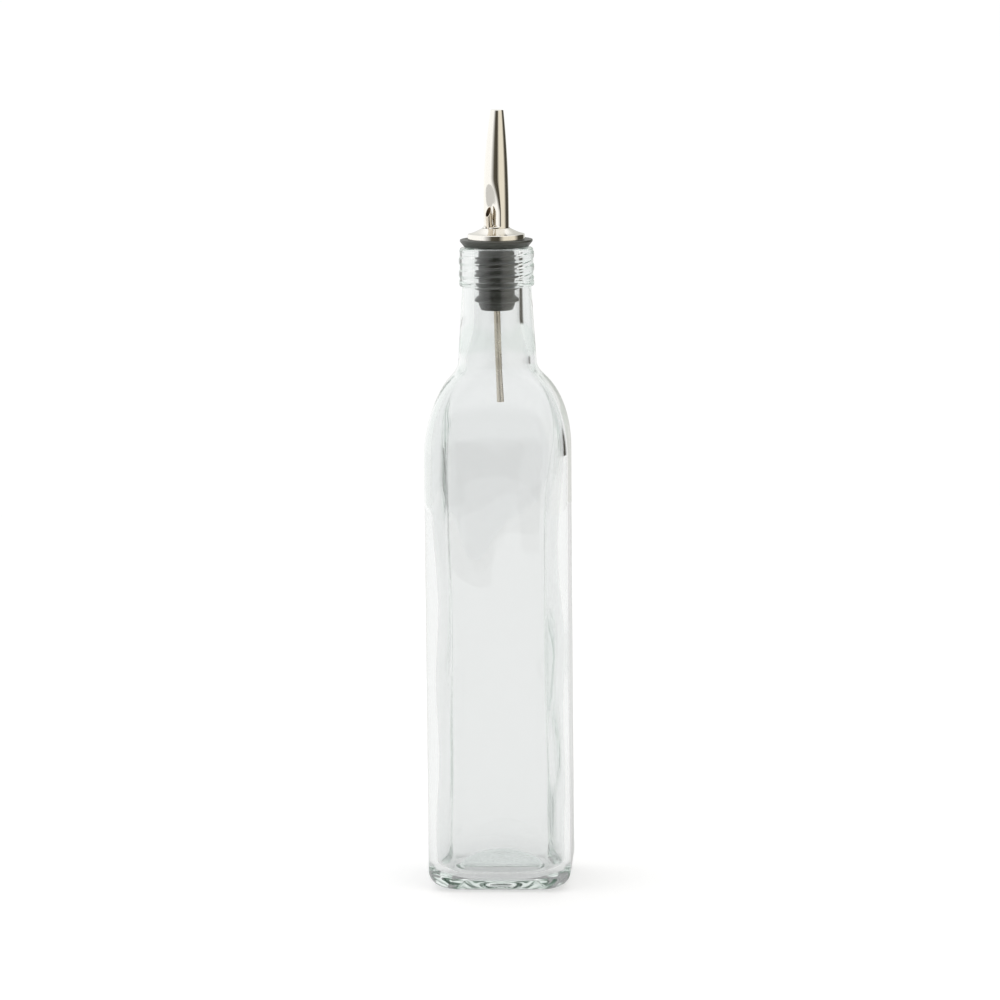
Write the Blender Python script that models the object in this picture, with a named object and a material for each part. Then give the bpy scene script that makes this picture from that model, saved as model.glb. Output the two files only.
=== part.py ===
"""Square glass oil bottle with a pull-out pourer.

The bottle stands on Z = 0 with its faces square to X and Y and its front towards -Y. The pourer is a ribbed
stopper carrying a tapered steel spout, its dished cap and a thin breather tube. The stopper slides up out of
the neck, and the spout turns in the stopper. All sizes are in metres.
"""
import math

import bmesh
import bpy
from mathutils import Vector
from mathutils.geometry import interpolate_bezier

# Clearance between pieces that touch or turn in each other
GAP = 0.0003

# Glass bottle, outside
BOTTLE_HEIGHT = 0.260
BODY_WIDTH = 0.058
CORNER_RADIUS = 0.009
HEEL_RADIUS = 0.008
HEEL_CORNER_RADIUS = 0.007      # corner radius of the flat that the bottle stands on
STANDING_RIM = 0.001            # flat between the heel and the push-up, at the middle of a side
PUSH_UP_HEIGHT = 0.008
DOME_POWER = 3.5                # how flat the push-up's dome is on top, outside and inside
SHOULDER_HEIGHT = 0.036         # upright radius of the shoulder's curve
SHOULDER_UNDERCUT = 0.0067      # how far that curve would run on inside the neck
NECK_LENGTH = 0.034
NECK_TOP_RADIUS = 0.0139
NECK_FOOT_RADIUS = 0.0161
NECK_FILLET = 0.0035            # the blend into the shoulder, above and below the neck's foot
BLEND_HANDLE = 0.4              # reach of the handles of the shoulder's blends, as a share of their height

# Threaded finish around the mouth
FINISH_HEIGHT = 0.0156
FINISH_RADIUS = 0.01485
THREAD_DEPTH = 0.00035
THREAD_PITCH = 0.0052
BEAD_HEIGHT = 0.0024
BEAD_CREST = (0.3, 0.75)        # where the bead is at its full width, as shares of its height
MOUTH_ROUNDING = 0.0008

# Glass bottle, inside
WALL = 0.0028
INNER_CORNER_RADIUS = 0.009     # the glass is thicker in its corners
FLOOR_THICKNESS = 0.005
INNER_HEEL_RADIUS = 0.007
INNER_HEEL_CORNER_RADIUS = 0.010
INNER_DOME_HEIGHT = 0.006
INNER_DOME_RIM = 0.0012
BORE_RADIUS = 0.0093
BORE_RUN_OUT = 0.003            # straight bore below the stopper
THROAT_WALL = 0.0033            # glass left where the neck's bore opens into the shoulder
THROAT_FILLET = 0.0050          # the blend there, above and below

# Stopper
STOPPER_LENGTH = 0.0253         # below the mouth
FLANGE_RADIUS = 0.0147
FLANGE_THICKNESS = 0.0031
FLANGE_BEVEL_WIDTH = 0.0018
FLANGE_BEVEL_HEIGHT = 0.0022
FLANGE_LIP = 0.0003             # rounding of the lip
FLANGE_DISH = 0.0005            # depth of the seat that the cap lies in
RIB_COUNT = 4
RIB_HEIGHT = 0.00165
RIB_PITCH = 0.00497
RIB_ROOT = 0.0030
RIB_TIP = 0.0009
SLEEVE_WALL = 0.0018
NOSE_LENGTH = 0.0044            # from the lowest rib's middle to the end
NOSE_TAPER = 0.0009
INLET_LENGTH = 0.0055           # narrower hole below the tube
INLET_STEP = 0.0013

# Spout: a drawn tube, straight in the stopper, tapered and gently curved above it
SPOUT_HEIGHT = 0.0554           # tip above the mouth
SPOUT_TIP_RADIUS = 0.0026
SPOUT_WALL = 0.00065
TAPER_START = 0.0095
TAPER_POWER = 2.25
TIP_OFFSET = 0.0012             # how far the tip leans away from the air hole
HEAD_TURN = math.radians(-40)   # the air hole's direction, turned from -Y towards -X

# Scoop pressed into the spout, where the air hole is
SCOOP_DEPTH = 0.0026
SCOOP_FLOOR = 0.0004            # height of the scoop's lower edge above the cap
SCOOP_LEDGE = 0.0010            # height over which that edge drops to full depth
SCOOP_DEEP = 0.0052             # height that stays at full depth
SCOOP_FADE = 0.0140
SCOOP_HALF_ANGLE = math.radians(64)
SCOOP_CRISP_EDGE = 1.0          # powers that shape the scoop's sides, at the ledge
SCOOP_SOFT_EDGE = 2.5           # and where it fades out

# Cap
CAP_RADIUS = 0.0116
CAP_WALL = 0.0008
CAP_SKIRT = 0.0023
CAP_RISE = 0.0024               # from the skirt's top up to the spout
CAP_RISE_POWER = 1.4            # the rise steepens towards the spout
CAP_EDGE = 0.0008               # rounding between the top and the skirt

# Breather tube
VENT_RADIUS = 0.0013
VENT_BORE = 0.00105
VENT_SLANT = math.radians(6)
VENT_RISE = 0.0042              # front of the tube's mouth above the scoop's lower edge
VENT_CUT = 0.0042               # height of the slanting cut across its mouth
VENT_STRAIGHT = 0.0110          # straight length at the top
VENT_HOLE_RISE = 0.0055         # how far the slanting hole for it runs on above the scoop's lower edge
VENT_BEND = 0.009               # reach of the bend's handles
VENT_DROP = 0.0383              # below the stopper
VENT_DRIFT = (0.0009, 0.00035)  # sideways place of its lower end

# Facets
CORNER_STEPS = 8                # points in each quarter of the bottle's rings
TURN_STEPS = 32                 # around turned pieces
SPOUT_STEPS = 24
VENT_STEPS = 10
SMOOTH_ANGLE = math.radians(35)

# Places worked out from the sizes above
HALF_WIDTH = BODY_WIDTH / 2
NECK_TOP = BOTTLE_HEIGHT - FINISH_HEIGHT
NECK_BASE = NECK_TOP - NECK_LENGTH
SHOULDER_CENTRE = NECK_FOOT_RADIUS - SHOULDER_UNDERCUT
SHOULDER_REACH = HALF_WIDTH - SHOULDER_CENTRE
SHOULDER_END = math.acos(SHOULDER_UNDERCUT / SHOULDER_REACH)
SHOULDER_START = NECK_BASE - SHOULDER_HEIGHT * math.sin(SHOULDER_END)
RIB_RADIUS = BORE_RADIUS - GAP
CORE_RADIUS = RIB_RADIUS - RIB_HEIGHT
SLEEVE_BORE = CORE_RADIUS - SLEEVE_WALL
TUBE_RADIUS = SLEEVE_BORE - GAP
TUBE_BORE = TUBE_RADIUS - SPOUT_WALL
FLANGE_TOP = GAP + FLANGE_THICKNESS
CAP_BOTTOM = FLANGE_TOP - FLANGE_DISH + GAP
CAP_TOP = CAP_BOTTOM + CAP_SKIRT + CAP_RISE
CAP_HOLE = TUBE_RADIUS + GAP
TUBE_END = INLET_LENGTH + GAP - STOPPER_LENGTH
SCOOP_BASE = CAP_TOP + SCOOP_FLOOR
VENT_STAND_OUT = 2 * GAP        # how far the breather tube stands out past the bore at the scoop's edge
VENT_LEDGE_REACH = TUBE_BORE - VENT_RADIUS + VENT_STAND_OUT
VENT_HOLE_RADIUS = VENT_RADIUS + GAP
VENT_HOLE_DROP = (VENT_STAND_OUT + 2 * GAP) / math.tan(VENT_SLANT)  # by then the hole lies inside the bore


def material(name, colour, roughness, metallic):
    """A plain Principled material."""
    made = bpy.data.materials.new(name)
    made.use_nodes = True
    shader = made.node_tree.nodes["Principled BSDF"]
    shader.inputs["Base Color"].default_value = (*colour, 1.0)
    shader.inputs["Roughness"].default_value = roughness
    shader.inputs["Metallic"].default_value = metallic
    made.diffuse_color = (*colour, 1.0)
    return made


def finish_object(name, bm, look, parent):
    """Turn a closed bmesh into a named, smooth-shaded object."""
    bmesh.ops.recalc_face_normals(bm, faces=bm.faces)
    mesh = bpy.data.meshes.new(name)
    bm.to_mesh(mesh)
    bm.free()
    mesh.shade_smooth()
    mesh.set_sharp_from_angle(angle=SMOOTH_ANGLE)
    mesh.materials.append(look)
    made = bpy.data.objects.new(name, mesh)
    made.parent = parent
    bpy.context.scene.collection.objects.link(made)
    return made


def loft(rings, ring_closed):
    """A skin through rings of points. The last ring meets the first, or both end rings are capped."""
    bm = bmesh.new()
    loops = [[bm.verts.new(point) for point in ring] for ring in rings]
    following = loops[1:] + loops[:1] if ring_closed else loops[1:]
    for loop, after in zip(loops, following):
        for place in range(len(loop)):
            bm.faces.new((loop[place - 1], loop[place], after[place], after[place - 1]))
    if not ring_closed:
        bm.faces.new(loops[0])
        bm.faces.new(loops[-1])
    return bm


def turned(outline):
    """A ring-shaped solid: a closed outline of (radius, height) points, spun about Z."""
    bm = bmesh.new()
    corners = [bm.verts.new((radius, 0, height)) for radius, height in outline]
    edges = [bm.edges.new(pair) for pair in zip(corners, corners[1:] + corners[:1])]
    bmesh.ops.spin(bm, geom=corners + edges, axis=(0, 0, 1), angle=math.tau, steps=TURN_STEPS,
                   use_merge=True)
    return bm


def empty(name, location, parent=None, turn=0.0):
    """A parent for pieces that move together, placed on their joint's axis."""
    made = bpy.data.objects.new(name, None)
    made.location = location
    made.rotation_euler.z = turn
    made.parent = parent
    bpy.context.scene.collection.objects.link(made)
    return made


def mix(start, end, share):
    return start + (end - start) * share


def smooth(share):
    """An S-curve from 0 to 1."""
    share = min(1.0, max(0.0, share))
    return share * share * (3 - 2 * share)


def square_ring(half, radius, height):
    """A rounded square whose flats lie at half. With radius == half it is an even circle."""
    quarter_step = math.pi / 2 / CORNER_STEPS
    reach = radius / math.cos(quarter_step / 2)
    points = []
    for side_x, side_y, quarter in ((1, 1, 0), (-1, 1, 1), (-1, -1, 2), (1, -1, 3)):
        for step in range(CORNER_STEPS):
            angle = math.pi / 2 * quarter + quarter_step * (step + 0.5)
            x = side_x * (half - radius) + reach * math.cos(angle)
            y = side_y * (half - radius) + reach * math.sin(angle)
            points.append((x, y, height))
    return points


def round_ring(radius, height):
    return square_ring(radius, radius, height)


def dome_rings(radius, base, rise, steps):
    """Circles from near a dome's top down to its rim."""
    rings = []
    for step in range(1, steps + 1):
        share = step / steps
        rings.append(round_ring(radius * share, base + rise * (1 - share ** DOME_POWER)))
    return rings


def neck_radius(share):
    """Outer radius of the neck, with share 0 under the finish and 1 at its foot."""
    return mix(NECK_TOP_RADIUS, NECK_FOOT_RADIUS, share)


def shoulder_rings(reach, rise, body_corner, fillet_low, neck_foot, neck_above, steps):
    """Rings from the straight body up to the neck, square at the bottom and round at the top.

    They follow an ellipse up to fillet_low and then a blend that reaches the neck's foot in line with the
    point above it. Both of those are (radius, height).
    """
    end = math.asin((fillet_low - SHOULDER_START) / rise)
    profile = []
    for step in range(steps):
        angle = end * step / steps
        profile.append((SHOULDER_CENTRE + reach * math.cos(angle), SHOULDER_START + rise * math.sin(angle)))
    low = Vector((SHOULDER_CENTRE + reach * math.cos(end), fillet_low, 0))
    upwards = Vector((-reach * math.sin(end), rise * math.cos(end), 0)).normalized()
    high = Vector((*neck_foot, 0))
    onwards = (Vector((*neck_above, 0)) - high).normalized()
    handle = (high.y - low.y) * BLEND_HANDLE
    blend = interpolate_bezier(low, low + upwards * handle, high - onwards * handle, high, 6)
    profile += [(point.x, point.y) for point in blend]
    half = SHOULDER_CENTRE + reach
    rings = []
    for width, height in profile:
        corner = mix(body_corner, neck_foot[0], (half - width) / (half - neck_foot[0]))
        rings.append(square_ring(width, corner, height))
    return rings


def thread_rings():
    """Rings of the finish, pushed out along a right-hand helix that fades at both ends."""
    low = NECK_TOP + BEAD_HEIGHT
    high = BOTTLE_HEIGHT - MOUTH_ROUNDING
    steps = 13
    rings = []
    for step in range(steps + 1):
        height = mix(low, high, step / steps)
        fade = smooth(min(height - low, high - height) / (THREAD_PITCH / 4))
        ring = []
        for x, y, z in round_ring(FINISH_RADIUS, height):
            turns = (height - low) / THREAD_PITCH - math.atan2(y, x) / math.tau
            crest = max(0.0, math.cos(math.tau * turns))
            grow = 1 + THREAD_DEPTH * crest * fade / FINISH_RADIUS
            ring.append((x * grow, y * grow, z))
        rings.append(ring)
    return rings


def bottle_outside():
    """Rings from the top of the push-up, round the heel and up to the mouth."""
    flat_half = HALF_WIDTH - HEEL_RADIUS
    rings = dome_rings(flat_half - STANDING_RIM, 0, PUSH_UP_HEIGHT, 5)
    heel_steps = 5
    for step in range(heel_steps + 1):
        angle = math.pi / 2 * step / heel_steps
        corner = mix(HEEL_CORNER_RADIUS, CORNER_RADIUS, math.sin(angle))
        height = HEEL_RADIUS * (1 - math.cos(angle))
        rings.append(square_ring(flat_half + HEEL_RADIUS * math.sin(angle), corner, height))
    foot_share = 1 - NECK_FILLET / NECK_LENGTH
    neck_foot = (neck_radius(foot_share), NECK_BASE + NECK_FILLET)
    rings += shoulder_rings(SHOULDER_REACH, SHOULDER_HEIGHT, CORNER_RADIUS, NECK_BASE - NECK_FILLET,
                            neck_foot, (NECK_TOP_RADIUS, NECK_TOP), 7)
    neck_steps = 4
    for step in range(1, neck_steps + 1):
        share = foot_share * (1 - step / neck_steps)
        rings.append(round_ring(neck_radius(share), NECK_TOP - NECK_LENGTH * share))
    bead_radius = FINISH_RADIUS + THREAD_DEPTH
    rings += [round_ring(bead_radius, NECK_TOP + BEAD_HEIGHT * share) for share in BEAD_CREST]
    rings += thread_rings()
    rings.append(round_ring(FINISH_RADIUS - MOUTH_ROUNDING, BOTTLE_HEIGHT))
    return rings


def bottle_inside():
    """Rings from the mouth down the bore, through the shoulder and over the floor's dome."""
    rings = [round_ring(BORE_RADIUS + MOUTH_ROUNDING / 2, BOTTLE_HEIGHT)]
    rings.append(round_ring(BORE_RADIUS, BOTTLE_HEIGHT - MOUTH_ROUNDING))
    throat = NECK_FOOT_RADIUS - THROAT_WALL
    reach = SHOULDER_REACH - WALL
    rise = SHOULDER_HEIGHT - WALL
    bore_end = BOTTLE_HEIGHT - STOPPER_LENGTH - BORE_RUN_OUT
    corner_height = SHOULDER_START + rise * math.sin(math.acos((throat - SHOULDER_CENTRE) / reach))
    throat_end = corner_height + THROAT_FILLET
    throat_steps = 4
    for step in range(throat_steps):
        share = step / throat_steps
        rings.append(round_ring(mix(BORE_RADIUS, throat, smooth(share)), mix(bore_end, throat_end, share)))
    rings += reversed(shoulder_rings(reach, rise, INNER_CORNER_RADIUS, corner_height - THROAT_FILLET,
                                     (throat, throat_end), (throat, bore_end), 7))
    floor_half = HALF_WIDTH - WALL - INNER_HEEL_RADIUS
    heel_steps = 4
    for step in range(heel_steps + 1):
        angle = math.pi / 2 * step / heel_steps
        corner = mix(INNER_CORNER_RADIUS, INNER_HEEL_CORNER_RADIUS, math.sin(angle))
        height = FLOOR_THICKNESS + INNER_HEEL_RADIUS * (1 - math.sin(angle))
        rings.append(square_ring(floor_half + INNER_HEEL_RADIUS * math.cos(angle), corner, height))
    rings += reversed(dome_rings(floor_half - INNER_DOME_RIM, FLOOR_THICKNESS, INNER_DOME_HEIGHT, 4))
    return rings


def build_bottle():
    glass = material("glass", (0.80, 0.87, 0.83), 0.04, 0.0)
    finish_object("bottle", loft(bottle_outside() + bottle_inside(), ring_closed=False), glass, None)


def rib_outline():
    """The ribs' outline, from the lowest rib up."""
    points = []
    for rib in range(RIB_COUNT):
        middle = rib * RIB_PITCH + NOSE_LENGTH - STOPPER_LENGTH
        points.append((CORE_RADIUS, middle - RIB_ROOT / 2))
        points.append((RIB_RADIUS, middle - RIB_TIP / 2))
        points.append((RIB_RADIUS, middle + RIB_TIP / 2))
        points.append((CORE_RADIUS, middle + RIB_ROOT / 2))
    return points


def build_stopper(pourer):
    """Ribbed plug with a flange on the mouth, a sleeve for the spout's tube and a narrower inlet."""
    inlet_radius = SLEEVE_BORE - INLET_STEP
    nose_radius = CORE_RADIUS - NOSE_TAPER
    outline = [
        (inlet_radius, -STOPPER_LENGTH),
        (nose_radius - NOSE_TAPER / 2, -STOPPER_LENGTH),
        (nose_radius, NOSE_TAPER / 2 - STOPPER_LENGTH),
        (CORE_RADIUS, NOSE_LENGTH / 2 - STOPPER_LENGTH),
    ]
    outline += rib_outline()
    outline += [
        (CORE_RADIUS, GAP),
        (FLANGE_RADIUS - FLANGE_BEVEL_WIDTH, GAP),
        (FLANGE_RADIUS, GAP + FLANGE_BEVEL_HEIGHT),
        (FLANGE_RADIUS, FLANGE_TOP - FLANGE_LIP),
        (FLANGE_RADIUS - FLANGE_LIP, FLANGE_TOP),
        (FLANGE_RADIUS - 2 * FLANGE_LIP, FLANGE_TOP),
        (CAP_RADIUS + GAP, FLANGE_TOP - FLANGE_DISH),
        (SLEEVE_BORE, FLANGE_TOP - FLANGE_DISH),
        (SLEEVE_BORE, INLET_LENGTH - STOPPER_LENGTH),
        (inlet_radius, INLET_LENGTH - STOPPER_LENGTH),
    ]
    rubber = material("rubber", (0.035, 0.037, 0.033), 0.55, 0.0)
    finish_object("stopper", turned(outline), rubber, pourer)


def scoop_depth(angle, height):
    """How far the scoop is pressed in. Its deepest line faces -Y, at an angle of -90 degrees."""
    rise = height - SCOOP_BASE
    drop = smooth(rise / SCOOP_LEDGE)
    left = 1 - max(0.0, rise - SCOOP_LEDGE - SCOOP_DEEP) / SCOOP_FADE
    if left <= 0:
        return 0.0
    away = abs(math.remainder(angle + math.pi / 2, math.tau))
    half = SCOOP_HALF_ANGLE
    if away >= half:
        return 0.0
    edge = mix(SCOOP_SOFT_EDGE, SCOOP_CRISP_EDGE, left)
    return SCOOP_DEPTH * drop * smooth(left) * math.cos(math.pi / 2 * away / half) ** edge


def spout_ring(height, inset):
    """A ring of the spout, square to its curved middle line, inset from the outer surface."""
    share = max(0.0, height - TAPER_START) / (SPOUT_HEIGHT - TAPER_START)
    slope = math.atan(2 * TIP_OFFSET * share / (SPOUT_HEIGHT - TAPER_START))
    centre = Vector((0, TIP_OFFSET * share ** 2, height))
    across = Vector((0, math.cos(slope), -math.sin(slope)))
    round_radius = mix(TUBE_RADIUS, SPOUT_TIP_RADIUS, share ** TAPER_POWER) - inset
    points = []
    for step in range(SPOUT_STEPS):
        angle = math.tau * step / SPOUT_STEPS
        radius = round_radius - scoop_depth(angle, height + inset)
        points.append(centre + radius * (math.cos(angle) * Vector((1, 0, 0)) + math.sin(angle) * across))
    return points


def spout_levels():
    """Heights of the rings: close together at the scoop's ledge, wider apart above."""
    levels = [TUBE_END, SCOOP_BASE - SPOUT_WALL]
    levels += [SCOOP_BASE + SCOOP_LEDGE * step / 3 for step in range(4)]
    low = SCOOP_BASE + SCOOP_LEDGE
    steps = 14
    levels += [mix(low, SPOUT_HEIGHT, (step / steps) ** 1.15) for step in range(1, steps + 1)]
    return levels


def vent_direction():
    return Vector((0, -math.sin(VENT_SLANT), math.cos(VENT_SLANT)))


def vent_ledge():
    """Where the breather tube's middle line crosses the scoop's lower edge."""
    return Vector((0, -VENT_LEDGE_REACH, SCOOP_BASE))


def build_spout(head):
    """Tapered tube with its scoop, and a slanted hole for the breather tube."""
    levels = spout_levels()
    rings = [spout_ring(height, 0.0) for height in levels]
    rings += [spout_ring(height, SPOUT_WALL) for height in reversed(levels)]
    steel = material("spout_steel", (0.62, 0.61, 0.59), 0.18, 1.0)
    spout = finish_object("spout", loft(rings, ring_closed=True), steel, head)

    bm = bmesh.new()
    bmesh.ops.create_cone(bm, cap_ends=True, segments=16, radius1=VENT_HOLE_RADIUS,
                          radius2=VENT_HOLE_RADIUS, depth=VENT_HOLE_RISE + VENT_HOLE_DROP)
    cutter = finish_object("vent_hole_cutter", bm, steel, head)
    cutter.location = vent_ledge() + vent_direction() * (VENT_HOLE_RISE - VENT_HOLE_DROP) / 2
    cutter.rotation_euler.x = VENT_SLANT
    cutter.hide_render = True
    cutter.display_type = "WIRE"
    cut = spout.modifiers.new("vent hole", "BOOLEAN")
    cut.operation = "DIFFERENCE"
    cut.solver = "EXACT"
    cut.object = cutter


def cap_height(radius, skirt_top):
    """Height of the cap's top, which rises towards the spout like the mouth of a bell."""
    share = (CAP_RADIUS - radius) / (CAP_RADIUS - CAP_HOLE)
    return skirt_top + CAP_RISE * share ** CAP_RISE_POWER


def build_cap(head):
    """Pressed dish on the flange, with a short skirt and a top that rises to meet the spout."""
    skirt_top = CAP_BOTTOM + CAP_SKIRT
    slope_end = CAP_RADIUS - CAP_EDGE
    steps = 5
    radii = [mix(CAP_HOLE, slope_end, step / steps) for step in range(steps + 1)]
    outline = [(radius, cap_height(radius, skirt_top)) for radius in radii]
    outline += [
        (CAP_RADIUS - CAP_EDGE / 4, skirt_top - CAP_EDGE / 4),
        (CAP_RADIUS, skirt_top - CAP_EDGE),
        (CAP_RADIUS, CAP_BOTTOM),
        (CAP_RADIUS - CAP_WALL, CAP_BOTTOM),
        (CAP_RADIUS - CAP_WALL, skirt_top - CAP_EDGE - CAP_WALL / 2),
    ]
    outline += [(radius, cap_height(radius, skirt_top) - CAP_WALL) for radius in reversed(radii)]
    steel = material("cap_steel", (0.60, 0.59, 0.57), 0.15, 1.0)
    finish_object("cap", turned(outline), steel, head)


def vent_path():
    """Middle line of the breather tube, from its mouth in the scoop down to its lower end."""
    direction = vent_direction()
    mouth = vent_ledge() + direction * (VENT_RISE / math.cos(VENT_SLANT))
    bend_top = mouth - direction * VENT_STRAIGHT
    bend_low = Vector((0, 0, -STOPPER_LENGTH))
    lower_end = Vector((*VENT_DRIFT, -STOPPER_LENGTH - VENT_DROP))
    upwards = (bend_low - lower_end).normalized()
    bend = interpolate_bezier(
        bend_top, bend_top - direction * VENT_BEND, bend_low + upwards * VENT_BEND, bend_low, 9)
    return [mouth, *bend, lower_end]


def vent_ring(path, index, radius):
    """A ring square to the path at one of its points, or cut on the slant at the mouth."""
    before = path[max(0, index - 1)]
    after = path[min(len(path) - 1, index + 1)]
    along = (after - before).normalized()
    side = (Vector((1, 0, 0)) - along.x * along).normalized()
    front = along.cross(side)
    cut = VENT_CUT / 2 if index == 0 else 0.0
    points = []
    for step in range(VENT_STEPS):
        angle = math.tau * step / VENT_STEPS
        across = radius * (math.cos(angle) * side + math.sin(angle) * front)
        lift = cut * (1 - math.sin(angle) * radius / VENT_RADIUS)
        points.append(path[index] + across - along * lift)
    return points


def build_vent_tube(head):
    """Thin tube that lets air into the bottle while it pours."""
    path = vent_path()
    places = range(len(path))
    rings = [vent_ring(path, index, VENT_RADIUS) for index in places]
    rings += [vent_ring(path, index, VENT_BORE) for index in reversed(places)]
    steel = material("vent_steel", (0.66, 0.63, 0.58), 0.25, 1.0)
    finish_object("vent_tube", loft(rings, ring_closed=True), steel, head)


def main():
    for old in list(bpy.data.objects):
        bpy.data.objects.remove(old)
    build_bottle()
    pourer = empty("pourer", (0, 0, BOTTLE_HEIGHT))
    build_stopper(pourer)
    head = empty("spout_head", (0, 0, 0), pourer, HEAD_TURN)
    build_spout(head)
    build_cap(head)
    build_vent_tube(head)


main()
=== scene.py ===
"""A square glass oil bottle with a pull-out steel pourer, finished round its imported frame.

Laid out as an add-on: each operator makes one piece of the bottle or the studio, and main() runs them in
order. Lengths are in metres and the bottle stands on Z = 0 with its front towards -Y.
"""
import math

import bmesh
import bpy
from bpy.props import FloatProperty, FloatVectorProperty, IntProperty, PointerProperty
from bpy.types import Operator, Panel, PropertyGroup
from mathutils import Euler, Matrix, Vector
from mathutils.geometry import interpolate_bezier


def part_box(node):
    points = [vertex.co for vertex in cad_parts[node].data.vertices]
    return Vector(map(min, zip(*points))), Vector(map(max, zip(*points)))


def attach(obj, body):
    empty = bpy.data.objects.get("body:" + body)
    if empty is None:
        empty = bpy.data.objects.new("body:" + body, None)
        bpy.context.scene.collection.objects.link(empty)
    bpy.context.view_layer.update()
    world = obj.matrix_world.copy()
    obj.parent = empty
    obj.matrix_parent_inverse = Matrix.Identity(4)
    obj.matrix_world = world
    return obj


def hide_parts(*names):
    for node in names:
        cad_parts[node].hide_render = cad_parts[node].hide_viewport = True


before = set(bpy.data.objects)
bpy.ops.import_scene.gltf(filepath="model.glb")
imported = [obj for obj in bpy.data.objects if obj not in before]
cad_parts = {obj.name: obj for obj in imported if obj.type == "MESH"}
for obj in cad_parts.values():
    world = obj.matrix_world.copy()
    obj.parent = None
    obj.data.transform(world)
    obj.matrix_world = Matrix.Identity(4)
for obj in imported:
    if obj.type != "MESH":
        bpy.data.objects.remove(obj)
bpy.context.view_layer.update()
BOTTLE_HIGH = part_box("bottle")[1]
STOPPER_LOW, STOPPER_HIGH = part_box("stopper")
CAP_LOW, CAP_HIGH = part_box("cap")
SPOUT_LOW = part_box("spout")[0]

bl_info = {
    "name": "Oil Bottle with Pourer",
    "version": (1, 0, 0),
    "blender": (4, 5, 0),
    "location": "View3D > Sidebar > Oil Bottle",
    "description": "Builds a square glass oil bottle with a ribbed stopper and a steel spout",
    "category": "Add Mesh",
}

MM = 0.001
GAP = 0.3 * MM  # between pieces that touch
ARC_STEPS = 14  # points in each quarter's corner arc
FLAT_STEPS = 10  # points along each flat side
RING_POINTS = 4 * (ARC_STEPS + FLAT_STEPS)
SPIN_STEPS = 96

# Bottle
DOME_POWER = 3.5  # how flat the push-up's dome is on top, outside and inside
DOME_STEPS = 24
BODY_FADE = 20 * MM  # over which the hollow sides and the ripple come and go
BORE_RUN_OUT = 10 * GAP  # straight bore below the stopper
INNER_FLOOR_CORNER = 10 * MM
INNER_ROUNDING = 0.10  # towards a circle, half way up

# Stopper
FLANGE_BEVEL_WIDTH = 1.8 * MM
FLANGE_BEVEL_HEIGHT = 2.2 * MM
FLANGE_LIP_HEIGHT = 0.1 * MM
FLANGE_LIP_WIDTH = 0.7 * MM
RIB_DROOP = 0.2 * MM  # the ribs' edges sit below their middles
MOULDED_RADIUS = 0.35 * MM  # rounding of every edge of the moulding

# Spout
SPOUT_HEIGHT = 55.4 * MM  # tip above the mouth
SPOUT_STEPS = 112
SCOOP_FLOOR = 0.4 * MM  # above the cap
SCOOP_SOFT_EDGE = 2.5  # powers that shape the scoop's sides, where it fades out
SCOOP_CRISP_EDGE = 1.0  # and at the ledge
TAPER_POWER = 2.25
TIP_ROUNDING = 0.2 * MM
TIP_BREAK = 0.06 * MM  # where its rounding starts

# Cap
CAP_WALL = 0.8 * MM
CAP_SKIRT = 2.3 * MM
CAP_RISE_POWER = 1.4  # the rise steepens towards the spout
CAP_EDGE_WIDTH = 0.35 * MM
CAP_EDGE_HEIGHT = 0.5 * MM
CAP_BREAK = 0.1 * MM  # broken edge at the skirt's foot
CAP_INNER_DROP = 1.2 * MM  # top of the skirt's inner wall below its outer top

# Breather tube
VENT_STAND_OUT = 2 * GAP  # past the bore, at the scoop's edge
VENT_SLANT = math.radians(6)
VENT_DIRECTION = Vector((0, -math.sin(VENT_SLANT), math.cos(VENT_SLANT)))
VENT_HOLE_RISE = 5.5 * MM  # how far the slanting hole for it runs on above the scoop's edge
VENT_HOLE_DROP = (VENT_STAND_OUT + 2 * GAP) / math.tan(VENT_SLANT)  # and below, until it is in the bore
VENT_CHAMFER = 0.08 * MM
VENT_STRAIGHT = 11 * MM
VENT_BEND = 9 * MM  # reach of the bend's handles
VENT_DROP = 38.3 * MM  # below the stopper
VENT_DRIFT = (0.9 * MM, 0.35 * MM)
VENT_STEPS = 40

# Studio
MIRROR_FLOOR_GLOW = 0.2
MIRROR_GAIN = 1.22  # of the tent, in reflections
GLASS_GAIN = 1.08  # and through glass
GLASS_DIP = 0.14  # how far light seen through the upright walls points down
GLASS_SPREAD = (0.16, 0.30)  # distance from that dip over which the openings fade from glass
GLASS_PALE = (0.97, 1.0, 0.98, 1.0)
ROOF_RANGE = (0.45, 0.75)  # upward slope over which the tent's walls turn into its roof
ROOF = (1.25, 1.25, 1.25, 1.0)
BACKDROP_STRENGTH = 1.02
MAX_BOUNCES = 96  # thick glass traps light for long
GLOSSY_BOUNCES = 64
CAMERA_SHIFT = 0.5 * MM


# ---------------------------------------------------------------- settings


def linear(hex_colour):
    """An sRGB hex colour as the linear values that shaders use."""
    channels = [int(hex_colour[place:place + 2], 16) / 255 for place in (1, 3, 5)]
    return tuple(c / 12.92 if c <= 0.04045 else ((c + 0.055) / 1.055) ** 2.4 for c in channels)


def length(name, description, default):
    return FloatProperty(
        name=name, description=description, default=default, unit="LENGTH", min=0.0, precision=5)


def colour(name, description, hex_colour):
    return FloatVectorProperty(
        name=name, description=description, default=linear(hex_colour), subtype="COLOR", min=0.0, max=1.0)


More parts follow.
